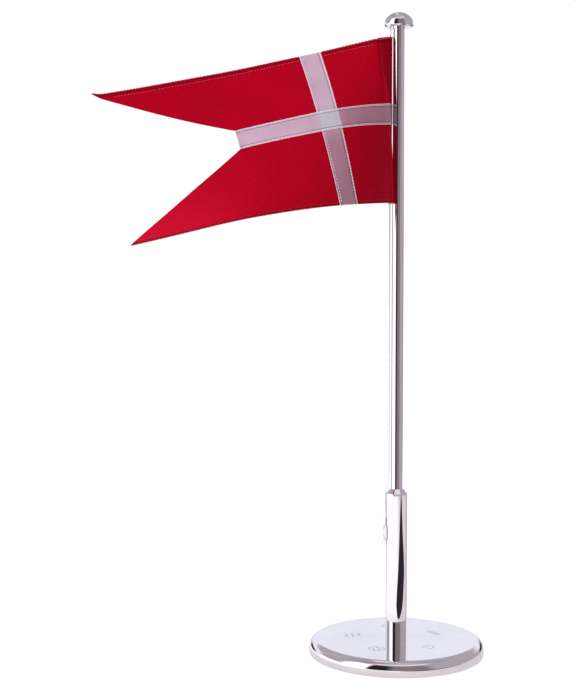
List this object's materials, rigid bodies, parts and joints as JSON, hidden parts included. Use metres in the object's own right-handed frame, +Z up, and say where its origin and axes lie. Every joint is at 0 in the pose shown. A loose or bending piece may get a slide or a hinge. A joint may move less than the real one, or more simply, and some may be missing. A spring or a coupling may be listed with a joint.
{
  "type": "desk flag stand",
  "caption": "Desk flag stand: heavy round base, slim stepped pole with a domed finial, thin looped halyard on a small cleat, and a sewn swallowtail flag with an offset cross.",
  "frame": {"origin": "centre of the felt pad's underside, on the surface that the stand is on", "axes": "+Z up along the pole, the flag flies towards -X, the front with the flag's face is towards -Y"},
  "size_m": [0.2301, 0.1222, 0.39],
  "materials": {
    "polished_chrome": "mirror polish",
    "zinc_steel": "zinc plated",
    "felt": "short nap",
    "halyard_cord": "fine braid",
    "flag_cloth": "fine ribbed weave",
    "ribbon_cloth": "satin ribbon"
  },
  "bodies": {
    "stand": {"base_disc": "polished_chrome", "base_felt": "felt", "base_screw": "zinc_steel", "base_washer": "zinc_steel", "lower_tube": "polished_chrome", "foot_plug": "zinc_steel", "collar": "polished_chrome", "pole": "polished_chrome", "pole_foot": "zinc_steel", "pole_head": "zinc_steel", "finial_plate": "polished_chrome", "finial_cap": "polished_chrome", "cleat": "polished_chrome", "cleat_rivets": "zinc_steel", "halyard_front": "halyard_cord", "halyard_back": "halyard_cord", "halyard_bight": "halyard_cord", "halyard_lead": "halyard_cord", "halyard_tail": "halyard_cord", "line_knot": "halyard_cord"},
    "line_stops": {"stop_upper": "halyard_cord", "stop_lower": "halyard_cord"},
    "flag": {"flag_cloth": "flag_cloth", "ribbon_upright_front": "ribbon_cloth", "ribbon_upright_back": "ribbon_cloth", "ribbon_bar_front": "ribbon_cloth", "ribbon_bar_back": "ribbon_cloth"}
  },
  "joints": [
    {"name": "flag_hoist", "type": "slide", "parent": "stand", "child": "line_stops", "axis": [0, 0, 1], "range_m": [-0.15, 0.004]},
    {"name": "flag_swing", "type": "hinge", "parent": "line_stops", "child": "flag", "pos_m": [-0.005, 0, 0.325], "axis": [0, 0, 1], "range_deg": [-140, 25]}
  ]
}
